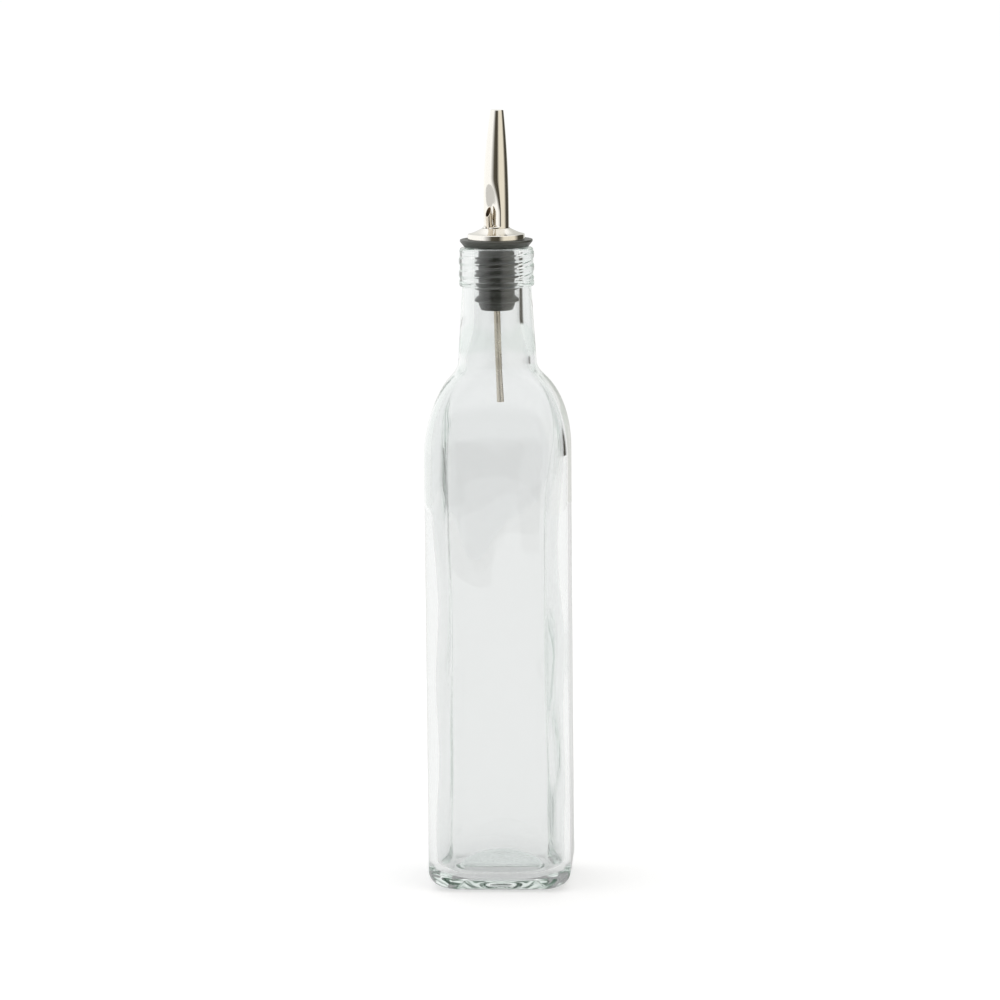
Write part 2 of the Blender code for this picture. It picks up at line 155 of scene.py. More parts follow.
class BottleSettings(PropertyGroup):
    """Sizes and glass of the bottle."""
    height: length("Height", "Height of the glass to its mouth", BOTTLE_HIGH.z)
    half_width: length("Half width", "Half the width across the flat sides", BOTTLE_HIGH.x)
    corner_radius: length("Corner radius", "Rounding of the upright corners", 9 * MM)
    heel_radius: length("Heel radius", "Rounding between the sides and the base", 8 * MM)
    heel_corner_radius: length("Base corner radius", "Corner rounding of the standing ring", 7 * MM)
    standing_rim: length("Standing rim", "Flat between the heel and the push-up", 1 * MM)
    push_up_height: length("Push-up height", "Rise of the hollow under the base", 8 * MM)
    shoulder_height: length("Shoulder height", "Upright radius of the shoulder", 36 * MM)
    shoulder_undercut: length("Shoulder undercut", "How far its curve runs on inside the neck", 6.7 * MM)
    neck_length: length("Neck length", "Neck between shoulder and finish", 34 * MM)
    neck_top_radius: length("Neck top radius", "Outer radius under the finish", 13.9 * MM)
    neck_foot_radius: length("Neck foot radius", "Outer radius at the shoulder", 16.1 * MM)
    neck_fillet: length("Neck fillet", "Blend into the shoulder, above and below the neck's foot", 3.5 * MM)
    finish_height: length("Finish height", "Height of the threaded finish", 15.6 * MM)
    finish_radius: length("Finish radius", "Outer radius between the threads", 14.85 * MM)
    thread_depth: length("Thread depth", "Height of the thread above the finish", 0.35 * MM)
    thread_pitch: length("Thread pitch", "Rise of the thread in one turn", 5.2 * MM)
    bead_height: length("Bead height", "Height of the ring below the thread", 2.4 * MM)
    mouth_rounding: length("Mouth rounding", "Rounding of the lip", 0.8 * MM)
    wall: length("Wall", "Thickness of the sides", 2.8 * MM)
    inner_corner_radius: length("Inner corner radius", "Rounding inside the upright corners", 9 * MM)
    floor_thickness: length("Floor thickness", "Thickness of the base at its edge", 5 * MM)
    inner_heel_radius: length("Inner heel radius", "Rounding inside, at the floor", 7 * MM)
    inner_dome_height: length("Inner dome height", "Rise of the floor over the push-up", 6 * MM)
    bore_radius: length("Bore radius", "Inner radius that the stopper fits", 9.3 * MM)
    throat_wall: length("Throat wall", "Glass where the bore opens into the shoulder", 3.3 * MM)
    throat_fillet: length("Throat fillet", "Blend inside the shoulder, above and below that place", 5 * MM)
    ripple: length("Ripple", "Unevenness of the blown inner wall", 0.35 * MM)
    sink: length("Sink", "Hollow in the middle of each flat side", 0.2 * MM)
    body: colour("Body", "Colour at each surface of the glass", "#EFF0F0")
    tint: colour("Tint", "Colour of the glass seen through its thickness", "#C9DDD2")
    tint_density: FloatProperty(
        name="Tint density", description="Absorption of the glass per metre", default=5.5, min=0.0)


class PourerSettings(PropertyGroup):
    """Sizes and finishes of the stopper, spout, cap and breather tube."""
    rib_count: IntProperty(name="Ribs", description="Sealing ribs on the stopper", default=4, min=1, max=8)
    rib_pitch: length("Rib pitch", "Spacing of the ribs", 4.97 * MM)
    rib_height: length("Rib height", "Height of a rib above the core", 1.65 * MM)
    rib_root: length("Rib root", "Thickness of a rib at the core", 3.0 * MM)
    rib_tip: length("Rib tip", "Thickness of a rib at its edge", 0.8 * MM)
    sleeve_wall: length("Sleeve wall", "Rubber round the spout's tube", 1.8 * MM)
    nose_length: length("Nose length", "From the lowest rib to the stopper's end", 4.4 * MM)
    nose_taper: length("Nose taper", "How much the nose narrows", 0.9 * MM)
    inlet_length: length("Inlet length", "Length of the narrow hole at the end", 5.5 * MM)
    inlet_step: length("Inlet step", "Width of the step under the tube", 1.3 * MM)
    spout_wall: length("Spout wall", "Thickness of the drawn tube", 0.65 * MM)
    tip_radius: length("Tip radius", "Outer radius at the spout's tip", 2.6 * MM)
    tip_offset: length("Tip offset", "Lean of the tip away from the air hole", 1.2 * MM)
    taper_start: length("Taper start", "Where the taper starts, above the mouth", 9.5 * MM)
    head_turn: FloatProperty(
        name="Head turn", description="Direction of the air hole from the front", subtype="ANGLE",
        default=math.radians(-40))
    scoop_depth: length("Scoop depth", "Depth pressed in at the air hole", 2.6 * MM)
    scoop_ledge: length("Scoop ledge", "Height over which the scoop's lower edge drops", 1 * MM)
    scoop_deep: length("Scoop deep part", "Height that stays at full depth", 5.2 * MM)
    scoop_fade: length("Scoop fade", "Height over which the scoop runs out", 14 * MM)
    scoop_half_angle: FloatProperty(
        name="Scoop half angle", description="Half the scoop's width round the tube", subtype="ANGLE",
        default=math.radians(64))
    vent_radius: length("Breather radius", "Outer radius of the breather tube", 1.3 * MM)
    vent_bore: length("Breather bore", "Inner radius of the breather tube", 1.05 * MM)
    vent_rise: length("Breather rise", "Front of its mouth above the scoop's lower edge", 4.2 * MM)
    vent_cut: length("Breather cut", "Height of the slanting cut across its mouth", 4.2 * MM)
    steel: colour("Steel", "Colour of the polished steel", "#EAE7E0")
    breather_steel: colour("Breather steel", "Colour of the breather tube", "#D6CDBE")
    # painted shade: the breather tube's bore is coloured dark brown to stand in for the shade inside its
    # mouth
    bore_painted_shade: colour("Bore painted shade", "Dark colour painted inside the breather tube as shade", "#5E4E3C")
    rubber: colour("Rubber", "Colour of the stopper", "#42443F")


class StudioSettings(PropertyGroup):
    """Camera, floor and light."""
    floor_radius: length("Floor radius", "Radius of the table top", 1.1)
    floor: colour("Floor", "Colour of the table top", "#C8C8C8")
    floor_glow: FloatProperty(
        name="Floor glow", description="Light that comes up through the table top", default=0.85, min=0.0)
    brightness: FloatProperty(name="Brightness", description="Strength of the studio light", default=1.0)
    camera_distance: length("Camera distance", "Level distance from the bottle", 1.854)
    camera_height: length("Camera height", "Height above the table", 0.4192)
    camera_azimuth: FloatProperty(
        name="Camera azimuth", description="Turn of the camera round the bottle", subtype="ANGLE",
        default=math.radians(2.91))
    camera_pitch: FloatProperty(
        name="Camera pitch", description="How far the camera looks down", subtype="ANGLE",
        default=math.radians(8.05))
    camera_roll: FloatProperty(
        name="Camera roll", description="Tilt of the camera", subtype="ANGLE", default=math.radians(-0.55))
    lens: FloatProperty(name="Lens", description="Focal length in millimetres", default=165.7)


def bottle_settings():
    return bpy.context.scene.oil_bottle


def pourer_settings():
    return bpy.context.scene.oil_pourer


def studio_settings():
    return bpy.context.scene.oil_studio


# ---------------------------------------------------------------- shaping


def mix(start, end, share):
    return start + (end - start) * share


def smooth(share):
    """An S-curve from 0 to 1."""
    share = min(1.0, max(0.0, share))
    return share * share * (3 - 2 * share)


def steps_between(start, end, count, with_start=False):
    """Even steps up to and including end, and start too when asked."""
    first = 0 if with_start else 1
    return [mix(start, end, step / count) for step in range(first, count + 1)]


def extruded_skin(rings, ring_closed):
    """A skin made by extruding a circle of edges from ring to ring.

    A closed skin meets its first ring again. An open one is drawn to a point at each end.
    """
    bm = bmesh.new()
    order = bm.verts.layers.int.new("order")
    circle = bmesh.ops.create_circle(bm, cap_ends=False, radius=1.0, segments=len(rings[0]))["verts"]
    for place, vert in enumerate(circle):
        vert[order] = place
        vert.co = rings[0][place]
    first = list(circle)
    edges = list(bm.edges)
    last = first
    for ring in rings[1:] + (rings[:1] if ring_closed else []):
        made = bmesh.ops.extrude_edge_only(bm, edges=edges)["geom"]
        edges = [item for item in made if isinstance(item, bmesh.types.BMEdge)]
        last = [item for item in made if isinstance(item, bmesh.types.BMVert)]
        for vert in last:
            vert.co = ring[vert[order]]
    if ring_closed:
        bmesh.ops.remove_doubles(bm, verts=first + last, dist=GAP / 100)
    else:
        for ends in (first, last):
            middle = sum((vert.co for vert in ends), Vector()) / len(ends)
            bmesh.ops.pointmerge(bm, verts=ends, merge_co=middle)
    bm.faces.index_update()
    return bm


def spun_solid(outline, steps=SPIN_STEPS):
    """A ring-shaped solid: a closed outline of (radius, height) points, spun about Z."""
    bm = bmesh.new()
    corners = [bm.verts.new((radius, 0, height)) for radius, height in outline]
    edges = [bm.edges.new(pair) for pair in zip(corners, corners[1:] + corners[:1])]
    bmesh.ops.spin(bm, geom=corners + edges, cent=(0, 0, 0), axis=(0, 0, 1), angle=math.tau,
                   steps=steps, use_merge=True)
    return bm


def rounded(points, radius, steps=4):
    """A closed outline with its corners rounded by arcs, each limited by the lines beside it."""
    result = []
    for place, (x, z) in enumerate(points):
        here = Vector((x, z))
        before = Vector(points[place - 1]) - here
        after = Vector(points[(place + 1) % len(points)]) - here
        turn = before.angle(after)
        if turn > math.radians(172):
            result.append((x, z))
            continue
        reach = min(radius / math.tan(turn / 2), before.length * 0.45, after.length * 0.45)
        start = here + before.normalized() * reach
        end = here + after.normalized() * reach
        for step in range(steps + 1):
            share = step / steps
            low = start.lerp(here, share)
            high = here.lerp(end, share)
            result.append(tuple(low.lerp(high, share)))
    return result


def placed_piece(name, bm, look, body, node, sharp=40):
    """Finish a closed bmesh as a smooth-shaded piece that stands for a CAD node."""
    bmesh.ops.recalc_face_normals(bm, faces=bm.faces)
    mesh = bpy.data.meshes.new(name)
    bm.to_mesh(mesh)
    bm.free()
    mesh.shade_smooth()
    mesh.set_sharp_from_angle(angle=math.radians(sharp))
    mesh.materials.append(look)
    piece = bpy.data.objects.new(name, mesh)
    bpy.context.scene.collection.objects.link(piece)
    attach(piece, body)
    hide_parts(node)
    return piece


# ---------------------------------------------------------------- materials


def add_node(tree, kind, inputs=None, **settings):
    """Add a node, set its properties and its values, and link the inputs that are given as sockets."""
    node = tree.nodes.new(kind)
    for name, value in settings.items():
        setattr(node, name, value)
    for name, value in (inputs or {}).items():
        if isinstance(value, bpy.types.NodeSocket):
            tree.links.new(value, node.inputs[name])
        else:
            node.inputs[name].default_value = value
    return node


def new_material(name):
    """A node material holding only its output, with object coordinates ready."""
    look = bpy.data.materials.new(name)
    look.use_nodes = True
    tree = look.node_tree
    tree.nodes.clear()
    output = tree.nodes.new("ShaderNodeOutputMaterial")
    place = tree.nodes.new("ShaderNodeTexCoord").outputs["Object"]
    return look, tree, output, place


def per_metre(size):
    """Texture scale for a pattern whose features are this size."""
    return 1.0 / size


def soda_lime_glass(settings):
    """Soda-lime glass, blown in a polished mould: clear, faintly green where it is thick, with a soft
    unevenness that bends reflections."""
    look, tree, output, place = new_material("soda-lime glass, blown")
    swell = add_node(tree, "ShaderNodeTexNoise", {
        "Vector": place, "Scale": per_metre(22 * MM), "Detail": 1.0, "Roughness": 0.4})
    bump = add_node(tree, "ShaderNodeBump", {
        "Height": swell.outputs["Fac"], "Strength": 0.15, "Distance": 0.6 * MM})
    shader = add_node(tree, "ShaderNodeBsdfPrincipled", {
        "Base Color": (*settings.body, 1), "Roughness": 0.0, "IOR": 1.52, "Transmission Weight": 1.0,
        "Normal": bump.outputs["Normal"]})
    absorb = add_node(tree, "ShaderNodeVolumeAbsorption", {
        "Color": (*settings.tint, 1), "Density": settings.tint_density})
    tree.links.new(shader.outputs["BSDF"], output.inputs["Surface"])
    tree.links.new(absorb.outputs["Volume"], output.inputs["Volume"])
    return look


def polished_steel(name, base, roughness, grain):
    """Stainless steel, drawn and polished: mirror-like, with fine lines along the drawing direction and
    faint handling marks that soften the reflections here and there."""
    look, tree, output, place = new_material(name)
    stretched = add_node(tree, "ShaderNodeMapping", {"Vector": place, "Scale": (1.0, 1.0, 0.04)})
    lines = add_node(tree, "ShaderNodeTexNoise", {
        "Vector": stretched.outputs["Vector"], "Scale": per_metre(0.25 * MM), "Detail": 2.0})
    marks = add_node(tree, "ShaderNodeTexNoise", {
        "Vector": place, "Scale": per_metre(3 * MM), "Detail": 3.0, "Roughness": 0.6})
    dull = add_node(tree, "ShaderNodeMapRange", {
        "Value": marks.outputs["Fac"], "From Min": 0.3, "From Max": 0.75,
        "To Min": roughness * 0.7, "To Max": roughness * 1.6})
    bump = add_node(tree, "ShaderNodeBump", {
        "Height": lines.outputs["Fac"], "Strength": grain, "Distance": 0.02 * MM})
    tone = add_node(tree, "ShaderNodeMapRange", {
        "Value": lines.outputs["Fac"], "From Min": 0.35, "From Max": 0.65, "To Min": 0.96, "To Max": 1.0})
    tinted = add_node(tree, "ShaderNodeVectorMath", {0: base, "Scale": tone.outputs["Result"]},
                      operation="SCALE")
    shader = add_node(tree, "ShaderNodeBsdfPrincipled", {
        "Base Color": tinted.outputs["Vector"], "Metallic": 1.0, "Roughness": dull.outputs["Result"],
        "Normal": bump.outputs["Normal"]})
    tree.links.new(shader.outputs["BSDF"], output.inputs["Surface"])
    return look


def moulded_rubber(settings):
    """Moulded thermoplastic rubber: dark grey-green, satin, with a fine mould grain and cloudy gloss."""
    look, tree, output, place = new_material("thermoplastic rubber, moulded")
    grain = add_node(tree, "ShaderNodeTexNoise", {
        "Vector": place, "Scale": per_metre(0.35 * MM), "Detail": 3.0, "Roughness": 0.6})
    cloud = add_node(tree, "ShaderNodeTexNoise", {
        "Vector": place, "Scale": per_metre(5 * MM), "Detail": 2.0})
    gloss = add_node(tree, "ShaderNodeMapRange", {
        "Value": cloud.outputs["Fac"], "From Min": 0.3, "From Max": 0.7, "To Min": 0.30, "To Max": 0.42})
    shade = add_node(tree, "ShaderNodeMapRange", {
        "Value": grain.outputs["Fac"], "From Min": 0.3, "From Max": 0.7, "To Min": 0.85, "To Max": 1.1})
    tinted = add_node(tree, "ShaderNodeVectorMath", {0: settings.rubber, "Scale": shade.outputs["Result"]},
                      operation="SCALE")
    bump = add_node(tree, "ShaderNodeBump", {
        "Height": grain.outputs["Fac"], "Strength": 0.25, "Distance": 0.05 * MM})
    shader = add_node(tree, "ShaderNodeBsdfPrincipled", {
        "Base Color": tinted.outputs["Vector"], "Roughness": gloss.outputs["Result"], "IOR": 1.52,
        "Normal": bump.outputs["Normal"]})
    tree.links.new(shader.outputs["BSDF"], output.inputs["Surface"])
    return look


def matt_card(settings):
    """Matt white laminate, lit from within like a light table so that shadows stay faint. A very faint
    mottle keeps it from looking blank, and it glows less in reflections, which draws the glass's edges."""
    look, tree, output, place = new_material("matt white laminate")
    mottle = add_node(tree, "ShaderNodeTexNoise", {
        "Vector": place, "Scale": per_metre(40 * MM), "Detail": 2.0})
    shade = add_node(tree, "ShaderNodeMapRange", {
        "Value": mottle.outputs["Fac"], "To Min": 0.995, "To Max": 1.0})
    tinted = add_node(tree, "ShaderNodeVectorMath", {0: settings.floor, "Scale": shade.outputs["Result"]},
                      operation="SCALE")
    path = add_node(tree, "ShaderNodeLightPath")
    mirrored = add_node(tree, "ShaderNodeMath", {
        0: path.outputs["Is Glossy Ray"], 1: path.outputs["Is Transmission Ray"]}, operation="SUBTRACT")
    glow = add_node(tree, "ShaderNodeMapRange", {
        "Value": mirrored.outputs["Value"], "To Min": settings.floor_glow, "To Max": MIRROR_FLOOR_GLOW})
    shader = add_node(tree, "ShaderNodeBsdfPrincipled", {
        "Base Color": tinted.outputs["Vector"], "Roughness": 0.9, "Specular IOR Level": 0.0,
        "Emission Color": tinted.outputs["Vector"], "Emission Strength": glow.outputs["Result"]})
    tree.links.new(shader.outputs["BSDF"], output.inputs["Surface"])
    return look


# ---------------------------------------------------------------- bottle


def bottle_ring(half, corner, roundness, height):
    """One level of the bottle: a rounded square drawn towards a circle of the same half width."""
    points = []
    flat = half - corner
    for quarter in range(4):
        turn = Matrix.Rotation(math.pi / 2 * quarter, 2)
        for step in range(ARC_STEPS):
            angle = math.pi / 2 * step / ARC_STEPS
            points.append(turn @ Vector((flat + corner * math.cos(angle), flat + corner * math.sin(angle))))
        for step in range(FLAT_STEPS):
            points.append(turn @ Vector((flat - 2 * flat * step / FLAT_STEPS, half)))
    ring = []
    lead = FLAT_STEPS / 2 * math.tau / RING_POINTS
    for place, point in enumerate(points):
        angle = lead + math.tau * place / RING_POINTS
        circle = half * Vector((math.cos(angle), math.sin(angle)))
        blend = point.lerp(circle, roundness)
        ring.append(Vector((blend.x, blend.y, height)))
    return ring


def round_ring(radius, height):
    return bottle_ring(radius, radius * 0.5, 1.0, height)


def dome_rings(radius, base, rise, count):
    """Circles from near a dome's top down to its rim."""
    return [round_ring(radius * share, base + rise * (1 - share ** DOME_POWER))
            for share in steps_between(0, 1, count)]


def neck_radius(s, share):
    """Outer radius of the neck, with share 0 under the finish and 1 at the shoulder."""
    return mix(s.neck_top_radius, s.neck_foot_radius, share)


class BottleShape:
    """Places worked out from the bottle's settings."""

    def __init__(self, s):
        self.neck_top = s.height - s.finish_height
        self.neck_base = self.neck_top - s.neck_length
        self.centre = s.neck_foot_radius - s.shoulder_undercut
        self.reach = s.half_width - self.centre
        end = math.acos(s.shoulder_undercut / self.reach)
        self.start = self.neck_base - s.shoulder_height * math.sin(end)
        self.throat = s.neck_foot_radius - s.throat_wall


def shoulder_sections(shape, reach, rise, corner, fillet_low, neck_foot, neck_above):
    """(half width, corner, roundness, height) from the straight body up to the neck's foot.

    They follow an ellipse up to fillet_low and then a blend that reaches neck_foot in line with neck_above.
    Both of those are (radius, height).
    """
    end = math.asin((fillet_low - shape.start) / rise)
    profile = [(shape.centre + reach * math.cos(angle), shape.start + rise * math.sin(angle))
               for angle in steps_between(0, end, 30, with_start=True)]
    low = Vector((*profile.pop(), 0))
    upwards = Vector((-reach * math.sin(end), rise * math.cos(end), 0)).normalized()
    high = Vector((*neck_foot, 0))
    onwards = (Vector((*neck_above, 0)) - high).normalized()
    handle = (high.y - low.y) * 0.4
    blend = interpolate_bezier(low, low + upwards * handle, high - onwards * handle, high, 20)
    profile += [(point.x, point.y) for point in blend]
    half = shape.centre + reach
    sections = []
    for width, height in profile:
        share = (half - width) / (half - neck_foot[0])
        sections.append((width, corner, min(1.0, share * neck_foot[0] / width), height))
    return sections


def sunk_ring(s, section):
    """A body ring whose flat sides are slightly hollow."""
    ring = bottle_ring(*section)
    half = section[0]
    for point in ring:
        for axis in (0, 1):
            across = point[1 - axis] / half
            if abs(point[axis]) > half * 0.995:
                point[axis] -= math.copysign(s.sink * (1 - min(1.0, across ** 2 * 1.6)), point[axis])
    return ring


def thread_ring(s, height, low, high):
    """A ring of the finish, pushed out along a right-hand helix that fades at both ends."""
    fade = smooth(min(height - low, high - height) / (s.thread_pitch / 5))
    ring = []
    for point in round_ring(s.finish_radius, height):
        turns = (height - low) / s.thread_pitch - math.atan2(point.y, point.x) / math.tau
        crest = smooth(0.5 + 0.9 * math.cos(math.tau * turns))
        grow = 1 + s.thread_depth * crest * fade / s.finish_radius
        ring.append(Vector((point.x * grow, point.y * grow, height)))
    return ring


def bottle_outside(s, shape):
    """Rings from the middle of the push-up, round the heel and up to the lip."""
    flat_half = s.half_width - s.heel_radius
    rings = dome_rings(flat_half - s.standing_rim, 0, s.push_up_height, DOME_STEPS)
    for angle in steps_between(0, math.pi / 2, 12, with_start=True):
        corner = mix(s.heel_corner_radius, s.corner_radius, math.sin(angle))
        width = flat_half + s.heel_radius * math.sin(angle)
        rings.append(bottle_ring(width, corner, 0, s.heel_radius * (1 - math.cos(angle))))
    for height in steps_between(s.heel_radius, shape.start, 30):
        fade = smooth(min(height - s.heel_radius, shape.start - height) / BODY_FADE)
        ring = bottle_ring(s.half_width, s.corner_radius, 0, height)
        hollow = sunk_ring(s, (s.half_width, s.corner_radius, 0, height))
        rings.append([plain.lerp(sunk, fade) for plain, sunk in zip(ring, hollow)])
    foot_share = 1 - s.neck_fillet / s.neck_length
    neck_foot = (neck_radius(s, foot_share), shape.neck_base + s.neck_fillet)
    shoulder = shoulder_sections(
        shape, shape.reach, s.shoulder_height, s.corner_radius, shape.neck_base - s.neck_fillet, neck_foot,
        (s.neck_top_radius, shape.neck_top))
    rings += [bottle_ring(*section) for section in shoulder[1:]]
    for share in steps_between(foot_share, 0, 16):
        rings.append(round_ring(neck_radius(s, share), shape.neck_top - s.neck_length * share))
    bead_radius = s.finish_radius + s.thread_depth
    for angle in steps_between(-math.pi / 2, math.pi / 2, 10):
        out = mix(s.neck_top_radius, bead_radius, math.cos(angle) ** 0.5)
        if angle > 0:
            out = mix(s.finish_radius, bead_radius, math.cos(angle) ** 0.5)
        rings.append(round_ring(out, shape.neck_top + s.bead_height * (0.5 + 0.5 * math.sin(angle))))
    low = shape.neck_top + s.bead_height
    high = s.height - s.mouth_rounding
    rings += [thread_ring(s, height, low, high) for height in steps_between(low, high, 60)]
    for angle in steps_between(0, math.pi / 2, 5):
        inset = s.mouth_rounding * (1 - math.cos(angle))
        rings.append(round_ring(s.finish_radius - inset, high + s.mouth_rounding * math.sin(angle)))
    return rings


def rippled(ring, amount, height):
    """An inner ring made uneven, as the inside of blown glass is."""
    result = []
    for point in ring:
        around = math.atan2(point.y, point.x)
        swell = math.sin(2 * around + height * 38 + 0.6) + 0.7 * math.sin(3 * around - height * 61 + 2.1)
        swell += 0.5 * math.sin(5 * around + height * 95)
        radius = math.hypot(point.x, point.y)
        grow = 1 + amount * swell / radius
        result.append(Vector((point.x * grow, point.y * grow, point.z)))
    return result


def bottle_inside(s, shape):
    """Rings from the lip down the bore, through the shoulder and over the floor's dome."""
    rings = []
    for angle in steps_between(math.pi / 2, 0, 5, with_start=True):
        inset = s.mouth_rounding * (1 - math.cos(angle))
        rings.append(round_ring(s.bore_radius + inset, s.height - s.mouth_rounding * (1 - math.sin(angle))))
    bore_end = STOPPER_LOW.z - BORE_RUN_OUT
    rings += [round_ring(s.bore_radius, height)
              for height in steps_between(s.height - s.mouth_rounding, bore_end, 6)]
    reach = shape.reach - s.wall
    rise = s.shoulder_height - s.wall
    corner = s.inner_corner_radius
    opening = shape.start + rise * math.sin(math.acos((shape.throat - shape.centre) / reach))
    throat_end = opening + s.throat_fillet
    for share in steps_between(0, 1, 16)[:-1]:
        radius = mix(s.bore_radius, shape.throat, smooth(share))
        rings.append(round_ring(radius, mix(bore_end, throat_end, share)))
    shoulder = shoulder_sections(
        shape, reach, rise, corner, opening - s.throat_fillet, (shape.throat, throat_end),
        (shape.throat, bore_end))
    for section in reversed(shoulder):
        amount = s.ripple * smooth((throat_end - section[3]) / BODY_FADE)
        rings.append(rippled(bottle_ring(*section), amount, section[3]))
    heel_top = s.floor_thickness + s.inner_heel_radius
    half = s.half_width - s.wall
    for height in steps_between(shape.start, heel_top, 44):
        amount = s.ripple * smooth((height - heel_top) / (30 * MM))
        rounder = INNER_ROUNDING * math.sin(math.pi * (height - heel_top) / (shape.start - heel_top)) ** 2
        rings.append(rippled(bottle_ring(half, corner, rounder, height), amount, height))
    floor_half = half - s.inner_heel_radius
    for angle in steps_between(0, math.pi / 2, 10):
        inner_corner = mix(corner, INNER_FLOOR_CORNER, math.sin(angle))
        width = floor_half + s.inner_heel_radius * math.cos(angle)
        height = s.floor_thickness + s.inner_heel_radius * (1 - math.sin(angle))
        rings.append(bottle_ring(width, inner_corner, 0, height))
    rim = floor_half - s.standing_rim
    rings += reversed(dome_rings(rim, s.floor_thickness, s.inner_dome_height, DOME_STEPS))
    return rings


class OILBOTTLE_OT_bottle(Operator):
    """Make the glass bottle"""
    bl_idname = "oil_bottle.bottle"
    bl_label = "Glass Bottle"

    def execute(self, context):
        s = bottle_settings()
        shape = BottleShape(s)
        bm = extruded_skin(bottle_outside(s, shape) + bottle_inside(s, shape), ring_closed=False)
        placed_piece("bottle_glass", bm, soda_lime_glass(s), "bottle", "bottle")
        return {"FINISHED"}


# ---------------------------------------------------------------- pourer


class PourerShape:
    """Places worked out from the frame and the pourer's settings, as heights above the bottle's mouth."""

    def __init__(self, p):
        b = bottle_settings()
        self.mouth = b.height
        self.rib_radius = b.bore_radius - GAP
        self.core_radius = self.rib_radius - p.rib_height
        self.sleeve_bore = self.core_radius - p.sleeve_wall
        self.tube_radius = self.sleeve_bore - GAP
        self.tube_bore = self.tube_radius - p.spout_wall
        self.stopper_end = STOPPER_LOW.z - self.mouth
        self.flange_top = STOPPER_HIGH.z - self.mouth
        self.flange_radius = STOPPER_HIGH.x
        self.cap_bottom = CAP_LOW.z - self.mouth
        self.cap_top = CAP_HIGH.z - self.mouth
        self.cap_radius = CAP_HIGH.x
        self.cap_hole = self.tube_radius + GAP
        self.tube_end = SPOUT_LOW.z - self.mouth
        self.scoop_base = self.cap_top + SCOOP_FLOOR


def stopper_outline(p, shape):
    """The stopper's section, from the inlet round the ribs and the flange to the sleeve."""
    inlet_radius = shape.sleeve_bore - p.inlet_step
    nose_radius = shape.core_radius - p.nose_taper
    low = shape.stopper_end
    outline = [(inlet_radius, low), (nose_radius, low), (shape.core_radius, low + p.nose_length / 2)]
    for rib in range(p.rib_count):
        middle = low + p.nose_length + rib * p.rib_pitch
        outline.append((shape.core_radius, middle - p.rib_root / 2))
        outline.append((shape.rib_radius, middle - p.rib_tip / 2 - RIB_DROOP))
        outline.append((shape.rib_radius, middle + p.rib_tip / 2 - RIB_DROOP))
        outline.append((shape.core_radius, middle + p.rib_root / 2))
    seat = shape.cap_bottom - GAP
    outline += [
        (shape.core_radius, GAP),
        (shape.flange_radius - FLANGE_BEVEL_WIDTH, GAP),
        (shape.flange_radius, GAP + FLANGE_BEVEL_HEIGHT),
        (shape.flange_radius, shape.flange_top - FLANGE_LIP_HEIGHT),
        (shape.flange_radius - FLANGE_LIP_WIDTH, shape.flange_top),
        (shape.cap_radius + GAP, seat),
        (shape.sleeve_bore, seat),
        (shape.sleeve_bore, low + p.inlet_length),
        (inlet_radius, low + p.inlet_length),
    ]
    return outline


class OILBOTTLE_OT_stopper(Operator):
    """Make the ribbed stopper with its flange"""
    bl_idname = "oil_bottle.stopper"
    bl_label = "Ribbed Stopper"

    def execute(self, context):
        p = pourer_settings()
        shape = PourerShape(p)
        bm = spun_solid(rounded(stopper_outline(p, shape), MOULDED_RADIUS))
        bmesh.ops.translate(bm, vec=(0, 0, shape.mouth), verts=bm.verts)
        placed_piece("stopper_moulding", bm, moulded_rubber(p), "pourer", "stopper")
        return {"FINISHED"}


def scoop_depth(p, shape, angle, height):
    """How far the scoop is pressed in. Its deepest line faces -Y before the head is turned."""
    rise = height - shape.scoop_base
    drop = smooth(rise / p.scoop_ledge)
    left = 1 - max(0.0, rise - p.scoop_ledge - p.scoop_deep) / p.scoop_fade
    if left <= 0:
        return 0.0
    away = abs(math.remainder(angle + math.pi / 2, math.tau))
    if away >= p.scoop_half_angle:
        return 0.0
    edge = mix(SCOOP_SOFT_EDGE, SCOOP_CRISP_EDGE, left)
    return p.scoop_depth * drop * smooth(left) * math.cos(math.pi / 2 * away / p.scoop_half_angle) ** edge


def spout_ring(p, shape, height, inset):
    """A ring of the spout, square to its curved middle line, inset from the outer surface."""
    span = SPOUT_HEIGHT - p.taper_start
    share = max(0.0, height - p.taper_start) / span
    slope = math.atan(2 * p.tip_offset * share / span)
    centre = Vector((0, p.tip_offset * share ** 2, height))
    across = Vector((0, math.cos(slope), -math.sin(slope)))
    radius = mix(shape.tube_radius, p.tip_radius, share ** TAPER_POWER) - inset
    ring = []
    for step in range(SPOUT_STEPS):
        angle = math.tau * step / SPOUT_STEPS
        out = radius - scoop_depth(p, shape, angle, height + inset)
        ring.append(centre + out * (math.cos(angle) * Vector((1, 0, 0)) + math.sin(angle) * across))
    return ring


def head_matrix(p, shape):
    """Turns and lifts the spout's pieces from their own frame to their place on the bottle."""
    return Matrix.Translation((0, 0, shape.mouth)) @ Matrix.Rotation(p.head_turn, 4, "Z")


def vent_ledge(p, shape):
    """Where the breather tube crosses the scoop's lower edge."""
    return Vector((0, -(shape.tube_bore - p.vent_radius + VENT_STAND_OUT), shape.scoop_base))


